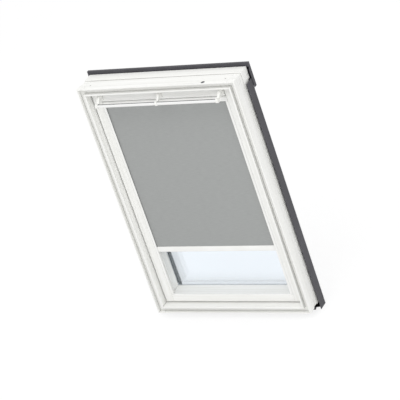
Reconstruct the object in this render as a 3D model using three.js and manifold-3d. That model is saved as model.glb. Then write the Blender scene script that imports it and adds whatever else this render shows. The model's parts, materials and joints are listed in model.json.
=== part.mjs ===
// A centre-pivot roof window with a ventilation flap, a control bar and a roller blind.
// Lengths are in millimetres and angles in degrees. Across is x from the centre line, depth is y
// from the room face of the frame outwards, and height is z up the slope from the frame's lower face.
import * as THREE from "three";
import { mergeVertices } from "three/addons/utils/BufferGeometryUtils.js";
import Module from "manifold-3d";

const wasm = await Module();
wasm.setup();

// Sizes shared by all pieces
const seat = 0.3; // gap between pieces that rest on each other
const overrun = 5; // how far a cutting solid runs past the face that it cuts
const arcSteps = 4; // straight steps in each rounded corner
const roundSides = 28; // sides of a turned piece
const coverSheet = 1.2; // outside covers
const bendRadius = 0.8; // inside radius of a fold in a cover

const frame = {
  width: 780,
  height: 1178,
  wall: 35,
  fingerCount: 4,
  fingerDepth: 29,
  lip: 5.5,
  grooveWidth: 20.5,
  grooveDepth: 16,
  nose: 22, // depth of the outer strip that the roof bears on
  noseStep: 1, // how far the wood behind the nose is set back
  edge: 0.8,
  innerEdge: 2,
  collarGrooveFrom: 43,
  collarGrooveWidth: 33,
  collarGrooveDepth: 2.5,
  ridge: 13, // how far the top stands out behind the rest, to carry the hood
  ridgeUp: 3, // from the top member's inner wall
  heelWidth: 24, // the ridge's return down each side member
};

const sash = {
  gap: 6, // between sash and frame, all round
  front: 34.5, // from the frame's room face
  face: 39,
  edge: 1.5,
  straight: 35.5, // depth of the straight inner wall, before the bevel
  bevel: 7,
  rebateWood: 22, // wood outside the glazing rebate
  rebateDepth: 15,
  backSet: 4, // sash back below the frame's back
  fingerCount: 3,
};

const glazing = {
  edgeGap: 3,
  pane: 4,
  cavity: 12,
  innerGasket: 2.4,
  innerGasketWidth: 16,
  outerGasket: 1.2,
  outerGasketWidth: 6,
  gasketInset: 2,
  spacerInset: 6,
  spacerWidth: 8,
};

const pivot = {
  belowFrameBack: 14,
  openAngle: 150,
  pinRadius: 5,
  pinReach: 14, // into the sash
  running: 0.3,
  plate: 3,
  frameHalfHeight: 42,
  frameHalfDepth: 11,
  sashHalfHeight: 36,
  sashHalfDepth: 9.5,
  round: 6,
};

const cover = {
  raise: 4, // the overlapping parts stand this much above those on the glass
  besideFrame: 8, // outer flange to the side of the frame
  flangeFrom: 78, // depth at which the outer flange starts
  flangeTopFrom: 112,
  slant: 4,
  flangeTopBelow: 57, // top of the flange below the frame's top
  belowFrame: 31,
  plateWidth: 31,
  bottomDrop: 12,
  sideReach: 50, // from the sash's outer face to the daylight edge
  bottomReach: 33,
  topReach: 79,
  riserFrom: 8, // inside the sash's outer face
  capReach: 8.5,
  capLip: 2.6,
  endGap: 1,
  liftGap: 3, // left between covers that pass at the open limit
  sealWidth: 7,
  sealFromWall: 2,
  capSealWidth: 5,
  capSealInset: 1.5,
};

const hood = {
  overhang: 10,
  above: 13.5,
  below: 103,
  gap: 3, // behind the frame's ridge
  deep: 14,
  lip: 18.5,
  bracketSheet: 1.5,
  bracketShort: 60, // at each end
  bracketFoot: 18,
  bracketHead: 18,
  bracketBelowLip: 3,
};

const apron = {
  sheet: 1.2,
  footFrom: 88,
  bendAt: 114,
  drop: 30,
  hookDepth: 95,
  hookDrop: 27,
  kneeDepth: 57,
  kneeDrop: 4,
  tipDepth: 46,
  tipDrop: 10,
  beyondFrame: 1,
};

const plug = {
  fromSide: 153,
  depth: 11,
  shank: 6.7,
  shankLength: 4.5,
  head: 8.4,
  headThick: 1,
  sunk: 0.4,
  running: 0.3,
};

const screwHole = { fromSide: 55, depth: 34, radius: 3.5, deep: 1.2 };

const flap = {
  endGap: 2,
  drop: 2.5, // its lower edge below the sash's inner edge
  height: 40.5,
  proud: 5.5, // in front of the sash
  thick: 14,
  hingeUp: 3, // hinge line above the flap's lower edge
  hingeIn: 3, // and in from its back
  pinRadius: 2.2,
  pinReach: 6,
  pinRunning: 0.4,
  lowRound: 6,
  topRound: 4,
  recessGap: 3, // behind the flap, to the floor of the sash's recess
  sealWidth: 6,
  sealBelowTop: 2,
  sealShort: 8,
};

const vent = {
  grooveDepth: 6,
  grooveHeight: 14,
  grooveBelowTop: 15,
  short: 52, // from the sash's inner side
  slit: 3,
  slitPitch: 6,
  slits: 2,
  slitFrom: 60,
  slitShort: 8,
};

const bar = {
  front: 61, // control bar's centre in front of the flap's hinge line
  above: 5.75, // and above it
  deep: 13,
  tall: 14.5,
  round: 5.5,
  wall: 1.6,
  short: 6, // at each end of the flap
  clip: 2.2,
  clipRound: 6.5,
  endArm: 12,
  middleArm: 10,
  limb: 9,
  shoulder: 10, // how far the limb's top stands out from its foot
  foot: 3.2,
  footHeight: 27,
  footBelowTop: 2,
  limbFootHeight: 17,
};

const lock = {
  half: 38,
  deep: 26,
  tall: 31,
  from: 27.5, // behind the sash's front
  boltHalf: 12,
  boltDeep: 8,
  boltTall: 23,
  nose: 4,
  noseRound: 2,
  running: 0.3,
  plateHalf: 30,
  plateDeep: 35,
  plateThick: 2,
  ridge: 1.5,
  ridgeDeep: 6,
};

const snib = {
  fromEnd: 33, // of the flap
  behindRecess: 13,
  rod: 4,
  running: 0.4,
  tall: 35,
  topGap: 0.5,
  tip: 1.5,
  knob: 6,
  knobTall: 8,
  notchHalf: 8,
  notchDeep: 21,
  travel: 10,
  bushOuter: 7,
  bushInner: 4.6,
  bushLength: 6,
  holeDeep: 1,
};

const casing = {
  proud: 0.5,
  deep: 34,
  topGap: 4.5, // under the flap
  height: 24,
  wall: 1.4,
  frontRound: 6,
  lowRound: 3,
  slot: 3.4,
  bracket: 1.5,
};

const cloth = {
  behindSash: 5.5,
  thick: 0.5,
  fromRail: 7, // how far the cloth's edge enters each rail
  inBar: 4,
  tube: 8,
  tubeWall: 1,
  roll: 9.25,
  shaft: 4,
  plug: 11,
  tubeShort: 7,
  rollShort: 3,
};

const rail = { width: 11.2, deep: 15.2, wall: 1.4, endGap: 0.3 };

const bottomBar = {
  drawn: 731, // how far the blind is drawn down, from the casing to the bar
  deep: 9,
  tall: 27,
  round: 3,
  wall: 1.2,
  head: 7.4,
  groove: 1.4,
  grooveDeep: 5,
  sideGap: 0.8,
  cap: 2,
  tongueHalfDeep: 5,
  tongueShort: 2.3,
  tongueTall: 16,
  tongueUp: 3,
};

// Places worked out from those sizes
const frameDepth = frame.fingerCount * frame.fingerDepth;
const frameHalf = frame.width / 2;
const frameMiddle = frame.height / 2;
const frameInner = frameHalf - frame.wall;
const sashInset = frame.wall + sash.gap;
const sashHalf = frameHalf - sashInset;
const sashLow = sashInset;
const sashHigh = frame.height - sashInset;
const sashBack = frameDepth - sash.backSet;
const rebateFloor = sashBack - sash.rebateDepth;
const bevelFrom = sash.front + sash.straight;
const sashInnerHalf = sashHalf - sash.face;
const sashInnerLow = sashLow + sash.face;
const sashInnerHigh = sashHigh - sash.face;
const unitInset = sash.rebateWood + glazing.edgeGap;
const innerPaneFrom = rebateFloor + glazing.innerGasket + 2 * seat;
const outerPaneFrom = innerPaneFrom + glazing.pane + glazing.cavity;
const glassBack = outerPaneFrom + glazing.pane;
const coverFrom = glassBack + glazing.outerGasket + 2 * seat;
const coverBack = coverFrom + coverSheet;
const raisedBack = coverBack + cover.raise;
const pivotDepth = frameDepth - pivot.belowFrameBack;
const recessFloor = sash.front - flap.proud + flap.thick + flap.recessGap;
const flapLow = sashInnerHigh - flap.drop;
const flapHigh = flapLow + flap.height;
const flapFront = sash.front - flap.proud;
const flapBack = flapFront + flap.thick;
const flapHalf = sashInnerHalf - flap.endGap;
const hingeDepth = flapBack - flap.hingeIn;
const hingeHeight = flapLow + flap.hingeUp;
const ventHalf = sashInnerHalf - vent.short;
const barHalf = flapHalf - bar.short;
const snibX = flapHalf - snib.fromEnd;
const plugX = frameHalf - plug.fromSide;
const screwHoleX = frameHalf - screwHole.fromSide;
const ridgeBack = frameDepth + frame.ridge;
const flangeTop = frame.height - cover.flangeTopBelow;

// How far from the pivot the overlapping covers start, so that they pass each other at the open limit
const openCosine = Math.abs(Math.cos(THREE.MathUtils.degToRad(pivot.openAngle)));
const openSine = Math.sin(THREE.MathUtils.degToRad(pivot.openAngle));
const coverReach = raisedBack - pivotDepth;
const framePlateFrom = frameDepth + seat;
const framePlateBack = framePlateFrom + coverSheet;
const plateReach = framePlateBack - pivotDepth;
const wideCoverTop = frameMiddle - (plateReach + cover.liftGap + coverReach * openCosine) / openSine;
const capLow = frameMiddle + (coverReach * (1 + openCosine)) / openSine + cover.liftGap;

// Outlines

// The unit vector from one outline point towards another
function toward(from, to) {
  return new THREE.Vector2(to[0] - from.x, to[1] - from.y).normalize();
}

// A closed outline of [u, v, corner radius] points, with an arc at each rounded corner
function outline(corners) {
  const points = [];
  corners.forEach(([u, v, radius = 0], index) => {
    const corner = new THREE.Vector2(u, v);
    if (radius === 0) {
      points.push(corner);
      return;
    }
    const before = toward(corner, corners.at(index - 1));
    const after = toward(corner, corners[(index + 1) % corners.length]);
    const half = Math.acos(THREE.MathUtils.clamp(before.dot(after), -1, 1)) / 2;
    const centre = before.clone().add(after).setLength(radius / Math.sin(half)).add(corner);
    const start = corner.clone().addScaledVector(before, radius / Math.tan(half)).sub(centre);
    const sweep = (Math.PI - 2 * half) * -Math.sign(before.cross(after));
    for (let step = 0; step <= arcSteps; step++) {
      const angle = start.angle() + (sweep * step) / arcSteps;
      points.push(new THREE.Vector2(Math.cos(angle), Math.sin(angle)).multiplyScalar(radius).add(centre));
    }
  });
  return points;
}

// A rectangle between two corners, with one radius for all its corners
function rectangle(u, v, radius = 0) {
  return outline([
    [u[0], v[0], radius],
    [u[1], v[0], radius],
    [u[1], v[1], radius],
    [u[0], v[1], radius],
  ]);
}

// A circle about a centre
function circle(u, v, radius) {
  const points = [];
  for (let side = 0; side < roundSides; side++) {
    const angle = (2 * Math.PI * side) / roundSides;
    points.push(new THREE.Vector2(u + radius * Math.cos(angle), v + radius * Math.sin(angle)));
  }
  return points;
}

// Folded sheet metal: a path of [u, v] points, thickened to its left, with bent corners
function folded(path, thickness) {
  const normals = path.slice(1).map(([u, v], index) => {
    const along = new THREE.Vector2(u - path[index][0], v - path[index][1]).normalize();
    return new THREE.Vector2(-along.y, along.x);
  });
  const near = [];
  const far = [];
  path.forEach(([u, v], index) => {
    const before = normals[index - 1] ?? normals[index];
    const after = normals[index] ?? normals[index - 1];
    const mitre = before.clone().add(after).normalize();
    const reach = thickness / mitre.dot(after);
    const turn = before.cross(after);
    const bend = turn === 0 ? 0 : bendRadius;
    near.push([u, v, turn > 0 ? bend + thickness : bend]);
    far.unshift([u + mitre.x * reach, v + mitre.y * reach, turn < 0 ? bend + thickness : bend]);
  });
  return outline([...near, ...far]);
}

// Solids

const across = new THREE.Vector3(1, 0, 0);
const outwards = new THREE.Vector3(0, 1, 0);
const inwards = new THREE.Vector3(0, -1, 0);
const upwards = new THREE.Vector3(0, 0, 1);
// For each run of a section: which ways its own u, v and length point
const runs = {
  across: new THREE.Matrix4().makeBasis(outwards, upwards, across),
  inwards: new THREE.Matrix4().makeBasis(across, upwards, inwards),
  upwards: new THREE.Matrix4().makeBasis(across, outwards, upwards),
};

// A closed geometry as a solid that can be cut and joined
function solid(geometry) {
  const bare = geometry.clone();
  bare.deleteAttribute("normal");
  bare.deleteAttribute("uv");
  const merged = mergeVertices(bare);
  return new wasm.Manifold(
    new wasm.Mesh({
      numProp: 3,
      vertProperties: merged.attributes.position.array,
      triVerts: new Uint32Array(merged.index.array),
    }),
  );
}

// A section carried straight from one place to another along a run
function prism(run, section, from, to, hole) {
  const shape = new THREE.Shape(section);
  if (hole) shape.holes.push(new THREE.Path(hole));
  const geometry = new THREE.ExtrudeGeometry(shape, { depth: to - from, bevelEnabled: false });
  geometry.translate(0, 0, run === "inwards" ? -to : from);
  return solid(geometry.applyMatrix4(runs[run]));
}

// A block between two places on each axis
function block(x, depth, height) {
  const geometry = new THREE.BoxGeometry(x[1] - x[0], depth[1] - depth[0], height[1] - height[0]);
  geometry.translate((x[0] + x[1]) / 2, (depth[0] + depth[1]) / 2, (height[0] + height[1]) / 2);
  return solid(geometry);
}

// A rectangle set in from the frame's outer edge by the same width all round
function insetRect(inset) {
  return { half: frameHalf - inset, low: inset, high: frame.height - inset };
}

// A section of [inset, depth] points carried round a rectangle, with mitred corners
function ring(rect, section) {
  const turned = THREE.ShapeUtils.isClockWise(section) ? [...section].reverse() : section;
  const count = turned.length;
  const corners = [
    [-1, -1],
    [1, -1],
    [1, 1],
    [-1, 1],
  ];
  const positions = corners.flatMap(([side, end]) =>
    turned.flatMap(({ x: inset, y: depth }) => [
      side * (rect.half - inset),
      depth,
      end > 0 ? rect.high - inset : rect.low + inset,
    ]),
  );
  const triangles = [];
  for (let corner = 0; corner < corners.length; corner++) {
    const here = corner * count;
    const next = ((corner + 1) % corners.length) * count;
    for (let point = 0; point < count; point++) {
      const after = (point + 1) % count;
      triangles.push(here + point, next + point, next + after);
      triangles.push(here + point, next + after, here + after);
    }
  }
  const geometry = new THREE.BufferGeometry();
  geometry.setAttribute("position", new THREE.Float32BufferAttribute(positions, 3));
  geometry.setIndex(triangles);
  return solid(geometry);
}

// A profile of [radius, distance along] points turned about an upright line
function turnedPiece(profile, x, depth, height) {
  const points = profile.map(([radius, along]) => new THREE.Vector2(radius, along));
  const geometry = new THREE.LatheGeometry(points, roundSides);
  geometry.rotateX(Math.PI / 2).translate(x, depth, height);
  return solid(geometry);
}

const join = (...bodies) => bodies.reduce((whole, body) => whole.add(body));
const cut = (body, ...tools) => tools.reduce((whole, tool) => whole.subtract(tool), body);

// Finger joints: each layer of a corner belongs to the upright or to the rail
function fingerJointed(body, rect, layers) {
  const widest = Math.max(...layers.map((layer) => layer.wall));
  const outside = rect.half + overrun;
  const allDepth = [layers[0].from - overrun, layers.at(-1).to + overrun];
  const railHeight = [rect.high - widest, rect.high + overrun];
  const uprightHeight = [rect.low + widest + seat, rect.high - widest - seat];
  const narrowest = rect.half - widest - seat;
  const uprights = [block([rect.half - widest, outside], allDepth, uprightHeight)];
  const rails = [block([-narrowest, narrowest], allDepth, railHeight)];
  layers.forEach(({ from, to, wall, upright }, index) => {
    const first = index === 0;
    const last = index === layers.length - 1;
    const whole = [first ? from - overrun : from, last ? to + overrun : to];
    const finger = [first ? from - overrun : from + seat / 2, last ? to + overrun : to - seat / 2];
    const between = rect.half - wall - seat;
    rails.push(block([-between, between], whole, railHeight));
    if (upright) {
      uprights.push(block([rect.half - wall, outside], finger, [rect.low - overrun, rect.high + overrun]));
    } else rails.push(block([-outside, outside], finger, railHeight));
  });
  const railMask = join(...rails);
  const lowered = railMask.getMesh();
  const flipped = new THREE.BufferGeometry();
  flipped.setAttribute("position", new THREE.BufferAttribute(lowered.vertProperties, 3));
  flipped.setIndex(new THREE.BufferAttribute(lowered.triVerts, 1));
  flipped.translate(0, 0, -(rect.high - widest)).rotateY(Math.PI).translate(0, 0, rect.low + widest);
  return {
    side: body.intersect(join(...uprights)),
    top: body.intersect(railMask),
    bottom: body.intersect(solid(flipped)),
  };
}

// The scene graph

const colours = {
  whitePaint: new THREE.MeshStandardMaterial({ color: 0xf4f4f2, roughness: 0.45 }),
  greyCover: new THREE.MeshStandardMaterial({ color: 0x55545a, roughness: 0.5, metalness: 0.6 }),
  blackRubber: new THREE.MeshStandardMaterial({ color: 0x1d1d1f, roughness: 0.8 }),
  anodised: new THREE.MeshStandardMaterial({ color: 0xc9cacb, roughness: 0.3, metalness: 1 }),
  zincSteel: new THREE.MeshStandardMaterial({ color: 0xa7a9aa, roughness: 0.4, metalness: 1 }),
  whitePlastic: new THREE.MeshStandardMaterial({ color: 0xf2f2ef, roughness: 0.4 }),
  whiteAluminium: new THREE.MeshStandardMaterial({ color: 0xf6f6f3, roughness: 0.35 }),
  blackoutCloth: new THREE.MeshStandardMaterial({ color: 0xa3a5a3, roughness: 0.9 }),
  greyFoam: new THREE.MeshStandardMaterial({ color: 0x8b8d8e, roughness: 1 }),
  clearGlass: new THREE.MeshStandardMaterial({
    color: 0xeaf3f8,
    roughness: 0.05,
    transparent: true,
    opacity: 0.35,
  }),
};

const roofWindow = new THREE.Group();
roofWindow.position.y = -frame.nose / 2; // the origin is the middle of the lower nose face

function add(name, body, material, side = 1) {
  const mesh = body.getMesh();
  const geometry = new THREE.BufferGeometry();
  geometry.setAttribute("position", new THREE.BufferAttribute(mesh.vertProperties, 3));
  geometry.setIndex(new THREE.BufferAttribute(mesh.triVerts, 1));
  const faceted = geometry.toNonIndexed();
  faceted.computeVertexNormals();
  const piece = new THREE.Mesh(faceted, material);
  piece.name = name;
  piece.scale.x = side;
  roofWindow.add(piece);
}

// A right-hand piece and its mirror image
function addPair(name, body, material) {
  add(`${name}_right`, body, material);
  add(`${name}_left`, body, material, -1);
}

// Frame: one grooved section round the opening, divided at finger-jointed corners

function buildFrame() {
  const grooveTo = frame.lip + frame.grooveWidth;
  const collarTo = frame.collarGrooveFrom + frame.collarGrooveWidth;
  const collarIn = frame.noseStep + frame.collarGrooveDepth;
  const section = outline([
    [0, 0, frame.edge],
    [frame.lip, 0, frame.edge],
    [frame.lip, frame.grooveDepth],
    [grooveTo, frame.grooveDepth],
    [grooveTo, 0, frame.edge],
    [frame.wall, 0, frame.innerEdge],
    [frame.wall, frameDepth],
    [frame.noseStep, frameDepth],
    [frame.noseStep, collarTo],
    [collarIn, collarTo],
    [collarIn, frame.collarGrooveFrom],
    [frame.noseStep, frame.collarGrooveFrom],
    [frame.noseStep, frame.nose],
    [0, frame.nose],
  ]);
  const layers = Array.from({ length: frame.fingerCount }, (_, index) => ({
    from: index * frame.fingerDepth,
    to: (index + 1) * frame.fingerDepth,
    wall: frame.wall,
    upright: index % 2 === 0,
  }));
  const members = fingerJointed(ring(insetRect(0), section), insetRect(0), layers);

  const platePocket = prism(
    "across",
    rectangle(
      [pivotDepth - pivot.frameHalfDepth - seat, pivotDepth + pivot.frameHalfDepth + seat],
      [frameMiddle - pivot.frameHalfHeight - seat, frameMiddle + pivot.frameHalfHeight + seat],
      pivot.round,
    ),
    frameInner - overrun,
    frameInner + pivot.plate + seat,
  );
  const woodOuter = frameHalf - frame.noseStep;
  const heel = block(
    [woodOuter - frame.heelWidth, woodOuter],
    [frameDepth - overrun, ridgeBack],
    [flangeTop + cover.endGap, frame.height - frame.wall - seat],
  );
  addPair("frame", cut(join(members.side, heel), platePocket), colours.whitePaint);
  add("frame_bottom", members.bottom, colours.whitePaint);

  const topWall = frame.height - frame.wall;
  const ridge = block(
    [-woodOuter, woodOuter],
    [frameDepth - overrun, ridgeBack],
    [topWall + frame.ridgeUp, frame.height - frame.noseStep],
  );
  const platePlace = strikerPlace();
  const strikerPocket = block(
    [-lock.plateHalf - seat, lock.plateHalf + seat],
    [platePlace.from - seat, platePlace.to + seat],
    [topWall - overrun, topWall + lock.plateThick + seat],
  );
  const bushHole = prism(
    "upwards",
    circle(-snibX, snibDepth, snib.bushOuter + seat),
    topWall - overrun,
    topWall + snib.bushLength + snib.holeDeep,
  );
  const plugHole = prism(
    "upwards",
    circle(plugX, plug.depth, plug.shank + plug.running),
    frame.height - frame.lip - overrun,
    frame.height + overrun,
  );
  const plugRecess = prism(
    "upwards",
    circle(plugX, plug.depth, plug.head + plug.running),
    frame.height - plug.sunk - plug.headThick - seat,
    frame.height + overrun,
  );
  const screwHoles = [-1, 1].map((side) =>
    prism(
      "upwards",
      circle(side * screwHoleX, screwHole.depth, screwHole.radius),
      frame.height - frame.noseStep - screwHole.deep,
      frame.height + overrun,
    ),
  );
  add(
    "frame_top",
    cut(join(members.top, ridge), strikerPocket, bushHole, plugHole, plugRecess, ...screwHoles),
    colours.whitePaint,
  );
}

// The plug that closes the cable hole, a thin head on a short shank
function buildPlug() {
  const profile = [
    [0, -plug.shankLength],
    [plug.shank, -plug.shankLength],
    [plug.shank, 0],
    [plug.head, 0],
    [plug.head, plug.headThick],
    [0, plug.headThick],
  ];
  const under = frame.height - plug.sunk - plug.headThick;
  add("cable_plug", turnedPiece(profile, plugX, plug.depth, under), colours.whitePlastic);
}

// Pivots: a plate with a pin let into each side of the frame, and a drilled plate in the sash
function buildPivots() {
  const framePlate = prism(
    "across",
    rectangle(
      [pivotDepth - pivot.frameHalfDepth, pivotDepth + pivot.frameHalfDepth],
      [frameMiddle - pivot.frameHalfHeight, frameMiddle + pivot.frameHalfHeight],
      pivot.round,
    ),
    frameInner,
    frameInner + pivot.plate,
  );
  const pin = prism(
    "across",
    circle(pivotDepth, frameMiddle, pivot.pinRadius),
    sashHalf - pivot.pinReach,
    frameInner + pivot.plate / 2,
  );
  addPair("hinge_frame", join(framePlate, pin), colours.zincSteel);

  const bore = prism(
    "across",
    circle(pivotDepth, frameMiddle, pivot.pinRadius + pivot.running),
    sashHalf - pivot.pinReach - overrun,
    sashHalf + overrun,
  );
  addPair("hinge_sash", cut(sashPlate(0), bore), colours.zincSteel);
}

// The sash's pivot plate, or with a margin the pocket that it lies in
function sashPlate(margin) {
  return prism(
    "across",
    rectangle(
      [pivotDepth - pivot.sashHalfDepth - margin, pivotDepth + pivot.sashHalfDepth + margin],
      [frameMiddle - pivot.sashHalfHeight - margin, frameMiddle + pivot.sashHalfHeight + margin],
      pivot.round,
    ),
    sashHalf - pivot.plate - margin,
    sashHalf + (margin > 0 ? overrun : 0),
  );
}

// Sash: a bevelled section with a glazing rebate, finger-jointed like the frame

function buildSash() {
  const rect = insetRect(sashInset);
  const section = outline([
    [0, sash.front, sash.edge],
    [sash.face, sash.front, sash.edge],
    [sash.face, bevelFrom],
    [sash.face + sash.bevel, rebateFloor],
    [sash.rebateWood, rebateFloor],
    [sash.rebateWood, sashBack],
    [0, sashBack],
  ]);
  const layerDepth = (sashBack - sash.front) / sash.fingerCount;
  const layers = Array.from({ length: sash.fingerCount }, (_, index) => {
    const to = sash.front + (index + 1) * layerDepth;
    return {
      from: sash.front + index * layerDepth,
      to,
      wall: to > bevelFrom ? sash.face + sash.bevel : sash.face,
      upright: index % 2 === 0,
    };
  });
  const members = fingerJointed(ring(rect, section), rect, layers);

  const pinHole = prism(
    "across",
    circle(pivotDepth, frameMiddle, pivot.pinRadius + pivot.running),
    sashHalf - pivot.pinReach - seat,
    sashHalf + overrun,
  );
  const flapPinHole = prism(
    "across",
    circle(hingeDepth, hingeHeight, flap.pinRadius + flap.pinRunning),
    sashInnerHalf - overrun,
    flapHalf + flap.pinReach + flap.endGap + seat,
  );
  addPair("sash", cut(members.side, sashPlate(seat), pinHole, flapPinHole), colours.whitePaint);
  add("sash_bottom", members.bottom, colours.whitePaint);

  const recess = block(
    [-sashInnerHalf, sashInnerHalf],
    [sash.front - overrun, recessFloor],
    [sashInnerHigh - overrun, sashHigh + overrun],
  );
  const grooveHigh = sashHigh - vent.grooveBelowTop;
  const filterGroove = block(
    [-ventHalf, ventHalf],
    [recessFloor - overrun, recessFloor + vent.grooveDepth],
    [grooveHigh - vent.grooveHeight, grooveHigh],
  );
  const slits = [];
  const slitMiddle = grooveHigh - vent.grooveHeight / 2;
  for (let row = 0; row < vent.slits; row++) {
    const low = slitMiddle + (row - vent.slits / 2) * vent.slitPitch + (vent.slitPitch - vent.slit) / 2;
    for (const side of [-1, 1]) {
      const ends = [side * vent.slitFrom, side * (ventHalf - vent.slitShort)].sort((a, b) => a - b);
      slits.push(block(ends, [recessFloor, sashBack + overrun], [low, low + vent.slit]));
    }
  }
  const casePlace = lockPlace(seat);
  const lockPocket = block(casePlace.x, casePlace.depth, [casePlace.height[0], sashHigh + overrun]);
  const snibLow = sashHigh - snib.topGap - snib.tall;
  const notch = block(
    [-snibX - snib.notchHalf, -snibX + snib.notchHalf],
    [recessFloor - overrun, recessFloor + snib.notchDeep],
    [snibLow - seat, snibLow + snib.knobTall + snib.travel + 2 * snib.topGap + seat],
  );
  const snibBore = prism(
    "upwards",
    circle(-snibX, snibDepth, snib.rod + snib.running),
    snibLow + snib.knobTall,
    sashHigh + overrun,
  );
  add(
    "sash_top",
    cut(members.top, recess, filterGroove, ...slits, lockPocket, notch, snibBore),
    colours.whitePaint,
  );
  add(
    "air_filter",
    block(
      [seat - ventHalf, ventHalf - seat],
      [recessFloor + seat, recessFloor + vent.grooveDepth - seat],
      [grooveHigh - vent.grooveHeight + seat, grooveHigh - seat],
    ),
    colours.greyFoam,
  );
}

// Glazing: two panes on a spacer, between gaskets

function buildGlazing() {
  const unit = insetRect(sashInset + unitInset);
  const paneBlock = (from) =>
    block([-unit.half, unit.half], [from, from + glazing.pane], [unit.low, unit.high]);
  add("inner_pane", paneBlock(innerPaneFrom), colours.clearGlass);
  add("outer_pane", paneBlock(outerPaneFrom), colours.clearGlass);

  const spacerBack = innerPaneFrom + glazing.pane + glazing.cavity;
  const spacer = rectangle(
    [glazing.spacerInset, glazing.spacerInset + glazing.spacerWidth],
    [innerPaneFrom + glazing.pane + seat, spacerBack - seat],
  );
  add("spacer_frame", ring(unit, spacer), colours.anodised);

  const innerGasket = rectangle(
    [glazing.gasketInset, glazing.gasketInset + glazing.innerGasketWidth],
    [rebateFloor + seat, rebateFloor + seat + glazing.innerGasket],
  );
  add("inner_gasket", ring(unit, innerGasket), colours.blackRubber);
  const outerGasket = rectangle(
    [glazing.gasketInset, glazing.gasketInset + glazing.outerGasketWidth],
    [glassBack + seat, glassBack + seat + glazing.outerGasket],
  );
  add("outer_gasket", ring(unit, outerGasket), colours.blackRubber);
}

// Outside covers

const flangeOuter = frameHalf + cover.besideFrame;
const flangeInner = flangeOuter - coverSheet;
const wideOuter = flangeInner - cover.endGap;
const daylightHalf = sashHalf - cover.sideReach;
const riserX = sashHalf - cover.riserFrom;
const flangeEnd = framePlateBack + 2 * cover.endGap;

function buildFrameCovers() {
  const flange = prism(
    "across",
    outline([
      [cover.flangeFrom, -cover.belowFrame],
      [raisedBack, -cover.belowFrame],
      [raisedBack, flangeTop],
      [cover.flangeTopFrom, flangeTop],
      [cover.flangeFrom, flangeTop - cover.slant],
    ]),
    flangeInner,
    flangeOuter,
  );
  const plate = block(
    [flangeInner - cover.plateWidth, flangeInner + coverSheet / 2],
    [framePlateFrom, framePlateBack],
    [0, flangeTop],
  );
  addPair("side_cover", join(flange, plate), colours.greyCover);

  // Upper caps: they reach over the sash and are folded down at both edges
  const capInner = sashHalf - cover.capReach;
  const cap = folded(
    [
      [capInner, raisedBack - coverSheet - cover.capLip],
      [capInner, raisedBack],
      [wideOuter, raisedBack],
      [wideOuter, flangeEnd],
    ].reverse(),
    coverSheet,
  );
  const capSealFrom = sashInset + cover.capSealInset;
  const capSealTo = capSealFrom + cover.capSealWidth;
  addPair("cover_cap", prism("upwards", cap, capLow, flangeTop), colours.greyCover);

  // Seals: one under the lower covers, on the frame, and one under the caps
  const sealFrom = frame.wall - cover.sealFromWall - cover.sealWidth;
  const lowSeal = outline([
    [sealFrom, frameDepth + seat],
    [sealFrom + cover.sealWidth, frameDepth + seat],
    [sealFrom + cover.sealWidth, raisedBack - coverSheet - seat, cover.sealWidth / 3],
    [sealFrom, raisedBack - coverSheet - seat, cover.sealWidth / 3],
  ]);
  const below = block(
    [-frameHalf, frameHalf],
    [0, raisedBack + overrun],
    [-overrun, wideCoverTop - cover.endGap],
  );
  add("frame_seal", ring(insetRect(0), lowSeal).intersect(below), colours.blackRubber);
  const capSeal = rectangle(
    [capSealFrom, capSealTo],
    [coverBack + seat, raisedBack - coverSheet - seat],
  );
  const aboveCap = block([-frameHalf, frameHalf], [0, raisedBack + overrun], [capLow, frame.height]);
  add("cap_seal", ring(insetRect(0), capSeal).intersect(aboveCap), colours.blackRubber);
}

function buildHood() {
  const front = ridgeBack + hood.gap;
  const back = front + hood.deep;
  const high = frame.height + hood.above;
  const low = frame.height - hood.below;
  const lipLow = high - hood.lip;
  const half = frameHalf + hood.overhang;
  const shell = folded(
    [
      [front, lipLow],
      [front, high],
      [back, high],
      [back, low],
    ].reverse(),
    coverSheet,
  );
  const within = coverSheet / 2;
  const band = outline([
    [front + within, lipLow],
    [front + within, high - within],
    [back - within, high - within],
    [back - within, low],
    [raisedBack, low],
    [raisedBack, lipLow - hood.deep],
  ]);
  add(
    "hood",
    join(
      prism("across", shell, -half, half),
      prism("across", band, half - coverSheet, half),
      prism("across", band, -half, coverSheet - half),
    ),
    colours.greyCover,
  );

  // A Z-shaped strip carries the hood on the back of the frame's ridge
  const stripStep = lipLow - hood.bracketBelowLip;
  const strip = folded(
    [
      [ridgeBack + seat, stripStep - hood.bracketFoot],
      [ridgeBack + seat, stripStep],
      [back - coverSheet - seat - hood.bracketSheet, stripStep],
      [back - coverSheet - seat - hood.bracketSheet, stripStep + hood.bracketHead],
    ].reverse(),
    hood.bracketSheet,
  );
  const stripHalf = frameHalf - hood.bracketShort;
  add("hood_bracket", prism("across", strip, -stripHalf, stripHalf), colours.zincSteel);
}

// The apron hangs under the bottom member and is hooked back towards the room
function buildApron() {
  const under = frame.noseStep - seat - apron.sheet;
  const path = [
    [apron.footFrom, under],
    [apron.bendAt, under],
    [apron.bendAt, -apron.drop],
    [apron.hookDepth, -apron.hookDrop],
    [apron.kneeDepth, -apron.kneeDrop],
    [apron.tipDepth, -apron.tipDrop],
  ];
  const half = frameHalf + apron.beyondFrame;
  add("sill_apron", prism("across", folded(path, apron.sheet), -half, half), colours.blackRubber);
}

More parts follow.
